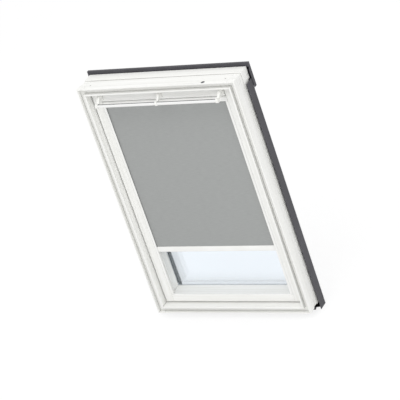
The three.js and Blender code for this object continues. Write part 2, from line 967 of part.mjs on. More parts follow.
function buildSashCovers() {
  // Upper trims stop short of the frame's caps, with a flange on the sash's back
  const trimOuter = sashHalf - cover.endGap / 2;
  const trim = folded(
    [
      [daylightHalf, coverBack],
      [trimOuter, coverBack],
      [trimOuter, sashBack + seat],
    ].reverse(),
    coverSheet,
  );
  const trimLow = wideCoverTop + cover.endGap;
  addPair("sash_trim", prism("upwards", trim, trimLow, sashHigh - cover.endGap), colours.greyCover);

  // Lower covers step up over the seal and reach out over the frame
  const wide = folded(
    [
      [daylightHalf, coverBack],
      [riserX, coverBack],
      [riserX, raisedBack],
      [wideOuter, raisedBack],
      [wideOuter, flangeEnd],
    ].reverse(),
    coverSheet,
  );
  const riserLow = sashLow + cover.riserFrom;
  addPair("sash_cover", prism("upwards", wide, riserLow + cover.endGap, wideCoverTop), colours.greyCover);

  // The bottom cover lies between the side covers on the glass, and runs the full width below them
  const endHalf = daylightHalf - cover.endGap;
  const dropTo = -cover.bottomDrop;
  const onGlass = rectangle(
    [coverFrom, coverBack],
    [riserLow - coverSheet / 2, sashLow + cover.bottomReach],
  );
  const overFrame = folded(
    [
      [flangeEnd, dropTo],
      [raisedBack, dropTo],
      [raisedBack, riserLow],
    ],
    coverSheet,
  );
  const riser = rectangle([coverFrom, raisedBack - bendRadius], [riserLow - coverSheet, riserLow]);
  const endPlate = (from, to) =>
    prism("across", rectangle([flangeEnd, raisedBack - bendRadius], [dropTo, riserLow]), from, to);
  add(
    "sash_cover_bottom",
    join(
      prism("across", onGlass, -endHalf, endHalf),
      prism("across", overFrame, -wideOuter, wideOuter),
      prism("across", riser, -riserX, riserX),
      endPlate(-wideOuter, coverSheet - wideOuter),
      endPlate(wideOuter - coverSheet, wideOuter),
    ),
    colours.greyCover,
  );

  const top = folded(
    [
      [coverBack, sashHigh - cover.topReach],
      [coverBack, sashHigh - cover.endGap],
      [sashBack + seat, sashHigh - cover.endGap],
    ],
    coverSheet,
  );
  add("sash_cover_top", prism("across", top, -endHalf, endHalf), colours.greyCover);
}

// Lock: a case in the sash's top member, a sliding latch and its keeper in the frame

function lockPlace(margin) {
  const from = sash.front + lock.from;
  return {
    x: [-lock.half - margin, lock.half + margin],
    depth: [from - margin, from + lock.deep + margin],
    height: [sashHigh - lock.tall - margin, sashHigh - seat],
  };
}

function latchPlace() {
  const middle = sash.front + lock.from + lock.deep / 2;
  return [middle - lock.boltDeep / 2, middle + lock.boltDeep / 2];
}

function strikerPlace() {
  const from = latchPlace()[0] - 2 * lock.ridgeDeep;
  return { from, to: from + lock.plateDeep };
}

function buildLock() {
  const place = lockPlace(0);
  const bolt = latchPlace();
  const top = sashHigh + lock.nose;
  const travel = 2 * lock.nose;
  const boltBore = block(
    [-lock.boltHalf - lock.running, lock.boltHalf + lock.running],
    [bolt[0] - lock.running, bolt[1] + lock.running],
    [top - lock.boltTall - travel - lock.running, sashHigh + overrun],
  );
  add("lock_case", cut(block(place.x, place.depth, place.height), boltBore), colours.zincSteel);

  const nose = outline([
    [bolt[0], top - lock.boltTall],
    [bolt[1], top - lock.boltTall],
    [bolt[1], top],
    [bolt[0], top, lock.noseRound],
  ]);
  add("latch", prism("across", nose, -lock.boltHalf, lock.boltHalf), colours.zincSteel);

  const keeper = strikerPlace();
  const wall = frame.height - frame.wall;
  const ridgeFrom = bolt[0] - lock.ridgeDeep - seat;
  const plate = outline([
    [keeper.from, wall + lock.plateThick],
    [keeper.from, wall],
    [ridgeFrom - lock.ridge, wall],
    [ridgeFrom, wall - lock.ridge],
    [ridgeFrom + lock.ridgeDeep, wall - lock.ridge],
    [ridgeFrom + lock.ridgeDeep, wall],
    [keeper.to, wall],
    [keeper.to, wall + lock.plateThick],
  ]);
  add("striker_plate", prism("across", plate, -lock.plateHalf, lock.plateHalf), colours.zincSteel);
}

// Snib bolt: it slides up out of the sash into a bush in the frame

const snibDepth = recessFloor + snib.behindRecess;

function buildSnib() {
  const profile = [
    [0, 0],
    [snib.knob, 0],
    [snib.knob, snib.knobTall],
    [snib.rod, snib.knobTall],
    [snib.rod, snib.tall - snib.tip],
    [snib.rod - snib.tip, snib.tall],
    [0, snib.tall],
  ];
  const low = sashHigh - snib.topGap - snib.tall;
  add("snib_bolt", turnedPiece(profile, -snibX, snibDepth, low), colours.zincSteel);

  const wall = frame.height - frame.wall;
  const bush = prism(
    "upwards",
    circle(-snibX, snibDepth, snib.bushOuter),
    wall,
    wall + snib.bushLength,
    circle(-snibX, snibDepth, snib.bushInner),
  );
  add("bolt_bush", bush, colours.whitePlastic);
}

// Ventilation flap with its control bar

function buildFlap() {
  const board = outline([
    [flapFront, flapLow, flap.lowRound],
    [flapBack, flapLow, flap.hingeIn],
    [flapBack, flapHigh],
    [flapFront, flapHigh, flap.topRound],
  ]);
  const reach = flapHalf + flap.endGap + flap.pinReach;
  const pins = prism("across", circle(hingeDepth, hingeHeight, flap.pinRadius), -reach, reach);
  add("flap_board", join(prism("across", board, -flapHalf, flapHalf), pins), colours.whitePaint);

  const sealHigh = sashHigh - flap.sealBelowTop;
  add(
    "flap_seal",
    block(
      [flap.sealShort - flapHalf, flapHalf - flap.sealShort],
      [flapBack + seat, recessFloor - seat],
      [sealHigh - flap.sealWidth, sealHigh],
    ),
    colours.blackRubber,
  );
}

// A rectangle about the control bar's centre, grown by a margin on every side
function barRectangle(margin, radius) {
  const depth = hingeDepth - bar.front - bar.deep / 2;
  const height = hingeHeight + bar.above - bar.tall / 2;
  return rectangle(
    [depth - margin, depth + bar.deep + margin],
    [height - margin, height + bar.tall + margin],
    radius,
  );
}

function buildControlBar() {
  const profile = barRectangle(0, bar.round);
  const bore = barRectangle(-bar.wall, bar.round - bar.wall);
  add("control_bar", prism("across", profile, -barHalf, barHalf, bore), colours.anodised);

  const backOfBar = hingeDepth - bar.front + bar.deep / 2;
  const barMiddle = hingeHeight + bar.above;
  const footFront = flapFront - seat - bar.foot;
  const footHigh = flapHigh - bar.footBelowTop;
  const limb = outline([
    [backOfBar, barMiddle - bar.limb / 2],
    [footFront, footHigh - bar.limbFootHeight],
    [footFront + bar.foot / 2, footHigh - bar.limbFootHeight],
    [footFront + bar.foot / 2, footHigh],
    [footFront - bar.shoulder, footHigh],
    [backOfBar, barMiddle + bar.limb / 2],
  ]);
  const foot = rectangle([footFront, footFront + bar.foot], [footHigh - bar.footHeight, footHigh]);
  const clip = barRectangle(bar.clip, bar.clipRound);
  const hole = barRectangle(seat, bar.round);
  const arm = (from, to, holeTo) =>
    cut(
      join(prism("across", clip, from, to), prism("across", limb, from, to), prism("across", foot, from, to)),
      prism("across", hole, from - overrun, holeTo),
    );
  const end = barHalf + bar.clip;
  addPair("bar_arm", arm(end - bar.endArm, end, barHalf + seat), colours.whitePlastic);
  const halfArm = bar.middleArm / 2;
  add("bar_arm_middle", arm(-halfArm, halfArm, halfArm + overrun), colours.whitePlastic);
}

// Roller blind

const casingHigh = flapLow - casing.topGap;
const casingLow = casingHigh - casing.height;
const casingFront = sash.front - casing.proud;
const casingHalf = sashInnerHalf - casing.bracket - 2 * seat;
const clothFrom = sash.front + cloth.behindSash;
const clothMiddle = clothFrom + cloth.thick / 2;
const rollDepth = clothFrom + cloth.thick + seat + cloth.roll;
const rollHeight = casingLow + casing.height / 2;
const railInner = sashInnerHalf - seat - rail.width;
const barHigh = casingLow - bottomBar.drawn;
const barLow = barHigh - bottomBar.tall;

function buildCasing() {
  const body = (wall, cornerRound, lowRound) =>
    outline([
      [casingFront + wall, casingLow + wall, lowRound],
      [casingFront + casing.deep - wall, casingLow + wall, lowRound],
      [casingFront + casing.deep - wall, casingHigh - wall, lowRound],
      [casingFront + wall, casingHigh - wall, cornerRound],
    ]);
  const inner = body(casing.wall, casing.frontRound - casing.wall, casing.lowRound - casing.wall);
  const tube = prism(
    "across",
    body(0, casing.frontRound, casing.lowRound),
    -casingHalf,
    casingHalf,
    inner,
  );
  const slot = block(
    [-casingHalf - overrun, casingHalf + overrun],
    [clothMiddle - casing.slot / 2, clothMiddle + casing.slot / 2],
    [casingLow - overrun, casingLow + 2 * casing.wall],
  );
  add("blind_casing", cut(tube, slot), colours.whiteAluminium);

  // End brackets hold the casing and the ends of the roller's shaft
  const bracket = prism(
    "across",
    body(0, casing.frontRound, casing.lowRound),
    casingHalf + seat,
    casingHalf + seat + casing.bracket,
    circle(rollDepth, rollHeight, cloth.shaft + seat),
  );
  addPair("casing_bracket", bracket, colours.whitePlastic);
}

function buildRails() {
  const outer = railInner + rail.width;
  const front = sash.front + seat;
  const back = front + rail.deep;
  const channel = outline([
    [railInner, front],
    [outer, front],
    [outer, back],
    [railInner, back],
    [railInner, back - rail.wall],
    [outer - rail.wall, back - rail.wall],
    [outer - rail.wall, front + rail.wall],
    [railInner, front + rail.wall],
  ]);
  addPair(
    "rail",
    prism("upwards", channel, sashInnerLow + rail.endGap, casingLow - rail.endGap),
    colours.whiteAluminium,
  );
}

function buildRoller() {
  const tubeHalf = casingHalf - cloth.tubeShort;
  const shaftHalf = casingHalf + seat + casing.bracket;
  const tubeBore = cloth.tube - cloth.tubeWall;
  const concentric = (radius) => circle(rollDepth, rollHeight, radius);
  add(
    "roller_shaft",
    prism("across", concentric(cloth.shaft), -shaftHalf, shaftHalf),
    colours.zincSteel,
  );
  add(
    "roller_tube",
    prism("across", concentric(cloth.tube), -tubeHalf, tubeHalf, concentric(tubeBore)),
    colours.anodised,
  );
  addPair(
    "roller_plug",
    prism(
      "across",
      concentric(tubeBore - seat),
      tubeHalf - cloth.plug,
      tubeHalf,
      concentric(cloth.shaft + seat),
    ),
    colours.whitePlastic,
  );
  const rollHalf = tubeHalf - cloth.rollShort;
  add(
    "fabric_roll",
    prism("across", concentric(cloth.roll), -rollHalf, rollHalf, concentric(cloth.tube + seat)),
    colours.blackoutCloth,
  );
}

function buildBlindBar() {
  const clothHalf = railInner + cloth.fromRail;
  add(
    "fabric",
    block([-clothHalf, clothHalf], [clothFrom, clothFrom + cloth.thick], [barHigh - cloth.inBar, rollHeight]),
    colours.blackoutCloth,
  );

  const half = railInner - bottomBar.sideGap;
  const depth = [clothMiddle - bottomBar.deep / 2, clothMiddle + bottomBar.deep / 2];
  const profile = rectangle(depth, [barLow, barHigh], bottomBar.round);
  const hollow = rectangle(
    [depth[0] + bottomBar.wall, depth[1] - bottomBar.wall],
    [barLow + bottomBar.wall, barHigh - bottomBar.head],
    bottomBar.round - bottomBar.wall,
  );
  const groove = block(
    [-half - rail.width, half + rail.width],
    [clothMiddle - bottomBar.groove / 2, clothMiddle + bottomBar.groove / 2],
    [barHigh - bottomBar.grooveDeep, barHigh + overrun],
  );
  const middleHalf = half - bottomBar.cap - seat;
  add(
    "bottom_bar",
    cut(prism("across", profile, -middleHalf, middleHalf, hollow), groove),
    colours.whiteAluminium,
  );

  // End caps, each with a tongue that slides in its rail
  const tongueLow = barLow + bottomBar.tongueUp;
  const tongue = block(
    [half - bottomBar.cap / 2, railInner + rail.width - rail.wall - bottomBar.tongueShort],
    [clothMiddle - bottomBar.tongueHalfDeep + rail.wall, clothMiddle + bottomBar.tongueHalfDeep],
    [tongueLow, tongueLow + bottomBar.tongueTall],
  );
  const cap = join(prism("across", profile, half - bottomBar.cap, half), tongue);
  addPair("bar_end", cut(cap, groove), colours.whitePlastic);
}

buildFrame();
buildPlug();
buildPivots();
buildSash();
buildGlazing();
buildFrameCovers();
buildHood();
buildApron();
buildSashCovers();
buildLock();
buildSnib();
buildFlap();
buildControlBar();
buildCasing();
buildRails();
buildRoller();
buildBlindBar();

export default roofWindow;
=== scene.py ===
# Roof window with a roller blind: its looks, light and camera, in metres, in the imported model's frame.
import json
import math

import bmesh
import bpy
import numpy as np
from mathutils import Matrix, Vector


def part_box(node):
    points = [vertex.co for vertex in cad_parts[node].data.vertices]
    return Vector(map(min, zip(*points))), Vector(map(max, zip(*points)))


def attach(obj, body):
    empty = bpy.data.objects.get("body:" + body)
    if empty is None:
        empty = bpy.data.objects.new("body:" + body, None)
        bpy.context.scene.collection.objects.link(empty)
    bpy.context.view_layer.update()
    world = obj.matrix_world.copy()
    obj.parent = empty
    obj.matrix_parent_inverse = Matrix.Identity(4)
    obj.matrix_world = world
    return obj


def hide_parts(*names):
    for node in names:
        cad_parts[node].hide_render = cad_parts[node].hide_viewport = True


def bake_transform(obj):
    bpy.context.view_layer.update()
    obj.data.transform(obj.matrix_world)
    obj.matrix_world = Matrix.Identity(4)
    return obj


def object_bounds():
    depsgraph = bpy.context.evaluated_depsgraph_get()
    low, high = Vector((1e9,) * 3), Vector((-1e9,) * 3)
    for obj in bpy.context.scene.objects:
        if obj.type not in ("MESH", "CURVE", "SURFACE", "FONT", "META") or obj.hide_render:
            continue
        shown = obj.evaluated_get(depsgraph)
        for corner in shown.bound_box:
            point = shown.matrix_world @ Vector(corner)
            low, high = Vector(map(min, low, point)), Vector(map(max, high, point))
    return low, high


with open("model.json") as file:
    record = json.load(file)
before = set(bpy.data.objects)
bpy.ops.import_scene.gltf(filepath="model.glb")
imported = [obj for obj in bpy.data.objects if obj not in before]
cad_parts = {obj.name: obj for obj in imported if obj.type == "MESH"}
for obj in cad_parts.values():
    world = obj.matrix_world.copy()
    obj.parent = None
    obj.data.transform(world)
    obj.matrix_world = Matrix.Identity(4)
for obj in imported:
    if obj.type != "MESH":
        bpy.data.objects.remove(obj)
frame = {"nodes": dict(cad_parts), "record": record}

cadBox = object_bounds()
mm = 0.001
bodyOf = {node: body for body, nodes in frame["record"]["behaviour"]["bodies"].items() for node in nodes}


# Colours and nodes

def linear(code):
    # sRGB hex to linear light: c/12.92 up to 0.04045, and ((c + 0.055)/1.055) to the power 2.4 above it
    channels = [int(code[i:i + 2], 16) / 255 for i in (1, 3, 5)]
    return [c / 12.92 if c <= 0.04045 else ((c + 0.055) / 1.055) ** 2.4 for c in channels] + [1.0]


def clearedTree(owner):
    # the empty node tree of a new material or world
    owner.use_nodes = True
    owner.node_tree.nodes.clear()
    return owner.node_tree


def addNode(tree, kind, settings={}, values={}, stops=(), links={}, feeds={}):
    # One node: settings go on the node itself, values on its sockets, and stops are a ramp's places and colours.
    # links joins its own sockets to other nodes' outputs, and feeds joins its outputs to other nodes' sockets.
    node = tree.nodes.new(kind)
    for key, value in settings.items():
        setattr(node, key, value)
    for key, value in values.items():
        node.inputs[key].default_value = value
    for i, (place, color) in enumerate(stops):
        node.color_ramp.elements[i].position = place
        node.color_ramp.elements[i].color = linear(color)
    for key, socket in links.items():
        tree.links.new(socket, node.inputs[key])
    for key, socket in feeds.items():
        tree.links.new(node.outputs[key], socket)
    return node


def newSurface(name, color, **sockets):
    # a principled surface whose constants sit on its own sockets
    material = bpy.data.materials.new(name)
    tree = clearedTree(material)
    values = {"Base Color": linear(color)}
    values.update({key.replace("_", " "): value for key, value in sockets.items()})
    shader = addNode(tree, "ShaderNodeBsdfPrincipled", values=values)
    addNode(tree, "ShaderNodeOutputMaterial", links={"Surface": shader.outputs["BSDF"]})
    material.diffuse_color = linear(color)
    return material, tree, shader.inputs


def scaled(tree, sizes, source="Object"):
    # coordinates divided by real sizes in mm, so that one unit of the texture is one real size on each axis
    place = addNode(tree, "ShaderNodeTexCoord")
    mapping = addNode(tree, "ShaderNodeMapping", values={"Scale": [1 / (size * mm) for size in sizes]},
                      links={"Vector": place.outputs[source]})
    return mapping.outputs["Vector"]


# Materials. Pattern sizes are in mm.

# painted shade in seams: the wood's colour is darkened where a neighbour close by hides the sky
paintedSeamShade = {
    "reach": 2.5 * mm,   # how near a neighbour has to be to count
    "samples": 8,
    # what the colour is multiplied by, from where half of the sky within reach is hidden to where hardly any is
    "stops": [(0.5, "#a6a6a2"), (0.9, "#ffffff")],
}


def paintedPine(name, along, color="#f3f3f0", dark="#efefeb", light="#f7f7f5"):
    # White lacquer sprayed on laminated pine: satin white whose coats leave the year rings as faint ridges along the
    # member, so long thin streaks show in raking light, over a peel of 1.4 mm. Year rings are 2.5 mm apart and run
    # 300 mm or more; the photo shows streaks about 9 mm apart, so a second, coarser set carries the tone.
    # A narrow seam gets painted shade: the colour is multiplied darker where neighbours close by hide the sky.
    # The frame's grooves get a greyer white of the same wood, which is painted shade for those recesses.
    material, tree, shader = newSurface(name, color, Roughness=0.42, Coat_Weight=0.15, Coat_Roughness=0.25)
    stretch = lambda width, length: [length if axis == along else width for axis in range(3)]
    streaks = addNode(tree, "ShaderNodeTexNoise", values={"Scale": 1.0, "Detail": 3.0, "Roughness": 0.55},
                      links={"Vector": scaled(tree, stretch(9, 420))})
    rings = addNode(tree, "ShaderNodeTexNoise", values={"Scale": 1.0, "Detail": 2.0},
                    links={"Vector": scaled(tree, stretch(2.5, 300))})
    peel = addNode(tree, "ShaderNodeTexNoise", values={"Scale": 1.0, "Detail": 1.0},
                   links={"Vector": scaled(tree, [1.4, 1.4, 1.4])})
    tone = addNode(tree, "ShaderNodeValToRGB", stops=[(0.3, dark), (0.7, light)],
                   links={"Fac": streaks.outputs["Fac"]})
    # painted shade: the share of nearby sky that is hidden darkens the colour
    hidden = addNode(tree, "ShaderNodeAmbientOcclusion", settings={"samples": paintedSeamShade["samples"]},
                     values={"Distance": paintedSeamShade["reach"]})
    seamShade = addNode(tree, "ShaderNodeValToRGB", stops=paintedSeamShade["stops"], links={"Fac": hidden.outputs["AO"]})
    addNode(tree, "ShaderNodeMix", settings={"data_type": "RGBA", "blend_type": "MULTIPLY"}, values={0: 1.0},
            links={6: tone.outputs["Color"], 7: seamShade.outputs["Color"]}, feeds={2: shader["Base Color"]})
    addNode(tree, "ShaderNodeMapRange", values={"To Min": 0.36, "To Max": 0.5},
            links={"Value": rings.outputs["Fac"]}, feeds={"Result": shader["Roughness"]})
    ridges = addNode(tree, "ShaderNodeBump", values={"Strength": 0.55, "Distance": 0.09 * mm},
                     links={"Height": rings.outputs["Fac"]})
    addNode(tree, "ShaderNodeBump", values={"Strength": 0.4, "Distance": 0.02 * mm},
            links={"Height": peel.outputs["Fac"], "Normal": ridges.outputs["Normal"]},
            feeds={"Normal": shader["Normal"]})
    return material


def coatedAluminium():
    # Roll-formed aluminium sheet with a baked dark grey polyester coat: matt and even, with a fine grit of about
    # 0.6 mm and a slow waviness where the sheet was rolled.
    material, tree, shader = newSurface("coatedAluminium", "#403f44", Roughness=0.5, Specular_IOR_Level=0.45)
    grit = addNode(tree, "ShaderNodeTexNoise", values={"Scale": 1.0, "Detail": 2.0},
                   links={"Vector": scaled(tree, [0.6, 0.6, 0.6])})
    wave = addNode(tree, "ShaderNodeTexNoise", values={"Scale": 1.0, "Detail": 1.0},
                   links={"Vector": scaled(tree, [60, 60, 140])})
    addNode(tree, "ShaderNodeValToRGB", stops=[(0.3, "#3b3a3f"), (0.7, "#45444a")],
            links={"Fac": wave.outputs["Fac"]}, feeds={"Color": shader["Base Color"]})
    addNode(tree, "ShaderNodeMapRange", values={"To Min": 0.44, "To Max": 0.58},
            links={"Value": grit.outputs["Fac"]}, feeds={"Result": shader["Roughness"]})
    swell = addNode(tree, "ShaderNodeBump", values={"Strength": 0.3, "Distance": 0.5 * mm},
                    links={"Height": wave.outputs["Fac"]})
    addNode(tree, "ShaderNodeBump", values={"Strength": 0.35, "Distance": 0.03 * mm},
            links={"Height": grit.outputs["Fac"], "Normal": swell.outputs["Normal"]},
            feeds={"Normal": shader["Normal"]})
    return material


def anodisedAluminium(name, color, dark, light, metallic):
    # Extruded aluminium, brushed lengthways and clear anodised: a soft metal sheen drawn out across the brushing.
    # Brush lines are 0.1 mm apart; drawn at 0.7 mm so that they show. A lit and a shaded copy are made from this:
    # a pale satin one as a painted highlight on the faces that look forwards, and a greyer, more metallic one as
    # painted shade on the others.
    material, tree, shader = newSurface(name, color, Metallic=metallic, Roughness=0.3)
    lines = addNode(tree, "ShaderNodeTexNoise", values={"Scale": 1.0, "Detail": 3.0},
                    links={"Vector": scaled(tree, [160, 0.7, 0.7])})
    addNode(tree, "ShaderNodeValToRGB", stops=[(0.3, dark), (0.7, light)],
            links={"Fac": lines.outputs["Fac"]}, feeds={"Color": shader["Base Color"]})
    addNode(tree, "ShaderNodeMapRange", values={"To Min": 0.22, "To Max": 0.4},
            links={"Value": lines.outputs["Fac"]}, feeds={"Result": shader["Roughness"]})
    addNode(tree, "ShaderNodeBump", values={"Strength": 0.4, "Distance": 0.02 * mm},
            links={"Height": lines.outputs["Fac"]}, feeds={"Normal": shader["Normal"]})
    return material


def galvanisedSteel():
    # Pressed steel, hot-dip galvanised: dull metal with zinc crystals of about 6 mm that catch the light differently.
    material, tree, shader = newSurface("galvanisedSteel", "#b9bcbd", Metallic=1.0, Roughness=0.4)
    flakes = addNode(tree, "ShaderNodeTexVoronoi", values={"Scale": 1.0}, links={"Vector": scaled(tree, [6, 6, 6])})
    grain = addNode(tree, "ShaderNodeTexNoise", values={"Scale": 1.0, "Detail": 3.0},
                    links={"Vector": scaled(tree, [1.2, 1.2, 1.2])})
    addNode(tree, "ShaderNodeValToRGB", stops=[(0.1, "#a3a7a9"), (0.9, "#c9cbcc")],
            links={"Fac": flakes.outputs["Color"]}, feeds={"Color": shader["Base Color"]})
    addNode(tree, "ShaderNodeMapRange", values={"To Min": 0.32, "To Max": 0.52},
            links={"Value": flakes.outputs["Color"]}, feeds={"Result": shader["Roughness"]})
    addNode(tree, "ShaderNodeBump", values={"Strength": 0.4, "Distance": 0.03 * mm},
            links={"Height": grain.outputs["Fac"]}, feeds={"Normal": shader["Normal"]})
    return material


def mouldedNylon(name, color, darker):
    # Injection-moulded glass-filled nylon: satin, with the fine spark-eroded grain of the tool, 0.5 mm, that breaks up
    # its highlights, and a trace of the flow of the melt, 35 mm across.
    material, tree, shader = newSurface(name, color, Roughness=0.45)
    grain = addNode(tree, "ShaderNodeTexNoise", values={"Scale": 1.0, "Detail": 2.0},
                    links={"Vector": scaled(tree, [0.5, 0.5, 0.5])})
    flow = addNode(tree, "ShaderNodeTexNoise", values={"Scale": 1.0}, links={"Vector": scaled(tree, [35, 35, 35])})
    addNode(tree, "ShaderNodeValToRGB", stops=[(0.3, darker), (0.7, color)],
            links={"Fac": flow.outputs["Fac"]}, feeds={"Color": shader["Base Color"]})
    addNode(tree, "ShaderNodeBump", values={"Strength": 0.4, "Distance": 0.03 * mm},
            links={"Height": grain.outputs["Fac"]}, feeds={"Normal": shader["Normal"]})
    return material


def powderCoatedAluminium():
    # Extruded aluminium with a white powder coat: smooth satin white with the slight orange peel of melted powder,
    # 1.8 mm across.
    material, tree, shader = newSurface("powderCoatedAluminium", "#f3f3f0", Roughness=0.38, Coat_Weight=0.2,
                                        Coat_Roughness=0.2)
    peel = addNode(tree, "ShaderNodeTexNoise", values={"Scale": 1.0, "Detail": 1.0},
                   links={"Vector": scaled(tree, [1.8, 1.8, 1.8])})
    tone = addNode(tree, "ShaderNodeTexNoise", values={"Scale": 1.0}, links={"Vector": scaled(tree, [90, 30, 90])})
    addNode(tree, "ShaderNodeValToRGB", stops=[(0.3, "#f0f0ed"), (0.7, "#f6f6f4")],
            links={"Fac": tone.outputs["Fac"]}, feeds={"Color": shader["Base Color"]})
    addNode(tree, "ShaderNodeBump", values={"Strength": 0.4, "Distance": 0.03 * mm},
            links={"Height": peel.outputs["Fac"]}, feeds={"Normal": shader["Normal"]})
    return material


def extrudedRubber():
    # Extruded EPDM rubber: matt black with a dusty bloom in patches of 7 mm and a faint grain of 0.7 mm.
    material, tree, shader = newSurface("extrudedRubber", "#202122", Roughness=0.7, Specular_IOR_Level=0.35)
    bloom = addNode(tree, "ShaderNodeTexNoise", values={"Scale": 1.0, "Detail": 4.0},
                    links={"Vector": scaled(tree, [7, 7, 7])})
    grain = addNode(tree, "ShaderNodeTexNoise", values={"Scale": 1.0, "Detail": 2.0},
                    links={"Vector": scaled(tree, [0.7, 0.7, 0.7])})
    addNode(tree, "ShaderNodeValToRGB", stops=[(0.3, "#191a1b"), (0.7, "#2a2b2c")],
            links={"Fac": bloom.outputs["Fac"]}, feeds={"Color": shader["Base Color"]})
    addNode(tree, "ShaderNodeBump", values={"Strength": 0.4, "Distance": 0.05 * mm},
            links={"Height": grain.outputs["Fac"]}, feeds={"Normal": shader["Normal"]})
    return material


# the wave texture repeats a little over three times in one unit of its coordinates
bandsInUnit = 3.3

spacer = {
    "halfBar": 2.4 * mm,      # of the bright bar, to each side of the middle of the spacer's depth
    # the bright strip along the lower edge is a painted highlight
    "highlightHeight": 20 * mm,     # height of the bright strip along the lower edge
    "rollLines": 1.6,
}


def rolledSpacer():
    # The edge seal of the glazing unit: a bright roll-formed spacer bar between two beads of dark sealant, which gives
    # a pale line between two dark ones, and along the lower edge, where the light falls, a bright strip that is a
    # painted highlight.
    # Lines of the roll run across it every 1.6 mm.
    material, tree, shader = newSurface("rolledSpacer", "#9c9ea1", Metallic=0.2, Roughness=0.45)
    low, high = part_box("spacer_frame")
    place = addNode(tree, "ShaderNodeTexCoord")
    axes = addNode(tree, "ShaderNodeSeparateXYZ", links={"Vector": place.outputs["Object"]})
    bar = addNode(tree, "ShaderNodeMath", settings={"operation": "COMPARE"},
                  values={1: (low[1] + high[1]) / 2, 2: spacer["halfBar"]}, links={0: axes.outputs["Y"]})
    # painted highlight: the spacer is drawn bright up to this height above its lower edge
    strip = addNode(tree, "ShaderNodeMath", settings={"operation": "LESS_THAN"},
                    values={1: low[2] + spacer["highlightHeight"]}, links={0: axes.outputs["Z"]})
    bright = addNode(tree, "ShaderNodeMath", settings={"operation": "MAXIMUM"},
                     links={0: bar.outputs["Value"], 1: strip.outputs["Value"]})
    addNode(tree, "ShaderNodeValToRGB", stops=[(0.1, "#2c2e31"), (0.9, "#eceded")],
            links={"Fac": bright.outputs["Value"]}, feeds={"Color": shader["Base Color"]})
    lines = addNode(tree, "ShaderNodeTexWave", settings={"wave_type": "BANDS", "bands_direction": "Y"},
                    values={"Scale": 1.0, "Distortion": 0.3},
                    links={"Vector": scaled(tree, [10, spacer["rollLines"] * bandsInUnit, 10])})
    addNode(tree, "ShaderNodeBump", values={"Strength": 0.5, "Distance": 0.06 * mm},
            links={"Height": lines.outputs["Fac"]}, feeds={"Normal": shader["Normal"]})
    return material


glassShare = {"least": 0.14, "power": 5.0}     # of the light mirrored head on, and how fast that grows with the slant


def floatGlass():
    # Float glass, 4 mm, with a thin low-emission film: clear, a trace blue, and more of a mirror than plain glass, so
    # the reveal shows in it along two edges. Each face lets light straight through and mirrors a share of it,
    # least + (1 - least) (1 - cos)^5 for the angle between sight and face.
    # The rollers leave a waviness of about 80 mm that only moves reflections.
    material = bpy.data.materials.new("floatGlass")
    tree = clearedTree(material)
    wave = addNode(tree, "ShaderNodeTexNoise", values={"Scale": 1.0}, links={"Vector": scaled(tree, [80, 80, 80])})
    bump = addNode(tree, "ShaderNodeBump", values={"Strength": 0.1, "Distance": 0.01 * mm},
                   links={"Height": wave.outputs["Fac"]})
    clear = addNode(tree, "ShaderNodeBsdfTransparent", values={"Color": linear("#fdfeff")})
    mirror = addNode(tree, "ShaderNodeBsdfGlossy", values={"Color": linear("#f4faff"), "Roughness": 0.0},
                     links={"Normal": bump.outputs["Normal"]})
    slant = addNode(tree, "ShaderNodeLayerWeight", values={"Blend": 0.5})
    steep = addNode(tree, "ShaderNodeMath", settings={"operation": "POWER"}, values={1: glassShare["power"]},
                    links={0: slant.outputs["Facing"]})
    share = addNode(tree, "ShaderNodeMapRange", values={"To Min": glassShare["least"], "To Max": 1.0},
                    links={"Value": steep.outputs["Value"]})
    mix = addNode(tree, "ShaderNodeMixShader",
                  links={"Fac": share.outputs["Result"], 1: clear.outputs["BSDF"], 2: mirror.outputs["BSDF"]})
    addNode(tree, "ShaderNodeOutputMaterial", links={"Surface": mix.outputs["Shader"]})
    material.diffuse_color = linear("#eaf3f8")
    return material


def blackoutCloth(name, dark, light, rough):
    # Plain-weave polyester with a coated back: matt grey, threads crossing over and under. Threads are 0.4 mm apart;
    # drawn at 1.6 mm, with slubs about 30 mm long, so that the weave shows close up.
    material, tree, shader = newSurface(name, light, Roughness=rough, Sheen_Weight=0.12, Sheen_Roughness=0.5,
                                        Specular_IOR_Level=0.25)
    thread = 1.6 * bandsInUnit
    warp, weft = (
        addNode(tree, "ShaderNodeTexWave", settings={"wave_type": "BANDS", "bands_direction": direction},
                values={"Scale": 1.0, "Distortion": 0.4, "Detail Scale": 0.4},
                links={"Vector": scaled(tree, [thread, thread, 1], "UV")})
        for direction in "XY")
    weave = addNode(tree, "ShaderNodeMath", settings={"operation": "MULTIPLY"},
                    links={0: warp.outputs["Fac"], 1: weft.outputs["Fac"]})
    slubs = addNode(tree, "ShaderNodeTexNoise", values={"Scale": 1.0, "Detail": 3.0},
                    links={"Vector": scaled(tree, [30, 2.2, 1], "UV")})
    addNode(tree, "ShaderNodeValToRGB", stops=[(0.3, dark), (0.7, light)],
            links={"Fac": slubs.outputs["Fac"]}, feeds={"Color": shader["Base Color"]})
    addNode(tree, "ShaderNodeBump", values={"Strength": 0.5, "Distance": 0.12 * mm},
            links={"Height": weave.outputs["Value"]}, feeds={"Normal": shader["Normal"]})
    return material


def openFoam():
    # Open-celled polyether foam: dark grey, all pores of about 1.8 mm, matt, with the pits of the pores darker as
    # painted shade.
    material, tree, shader = newSurface("openFoam", "#6f7173", Roughness=0.95, Specular_IOR_Level=0.1)
    pores = addNode(tree, "ShaderNodeTexVoronoi", values={"Scale": 1.0},
                    links={"Vector": scaled(tree, [1.8, 1.8, 1.8])})
    # painted shade: darker towards the middle of each pore, where the bump is lowest
    addNode(tree, "ShaderNodeValToRGB", stops=[(0.1, "#3d3f41"), (0.6, "#7d7f81")],
            links={"Fac": pores.outputs["Distance"]}, feeds={"Color": shader["Base Color"]})
    addNode(tree, "ShaderNodeBump", values={"Strength": 0.9, "Distance": 0.8 * mm},
            links={"Height": pores.outputs["Distance"]}, feeds={"Normal": shader["Normal"]})
    return material


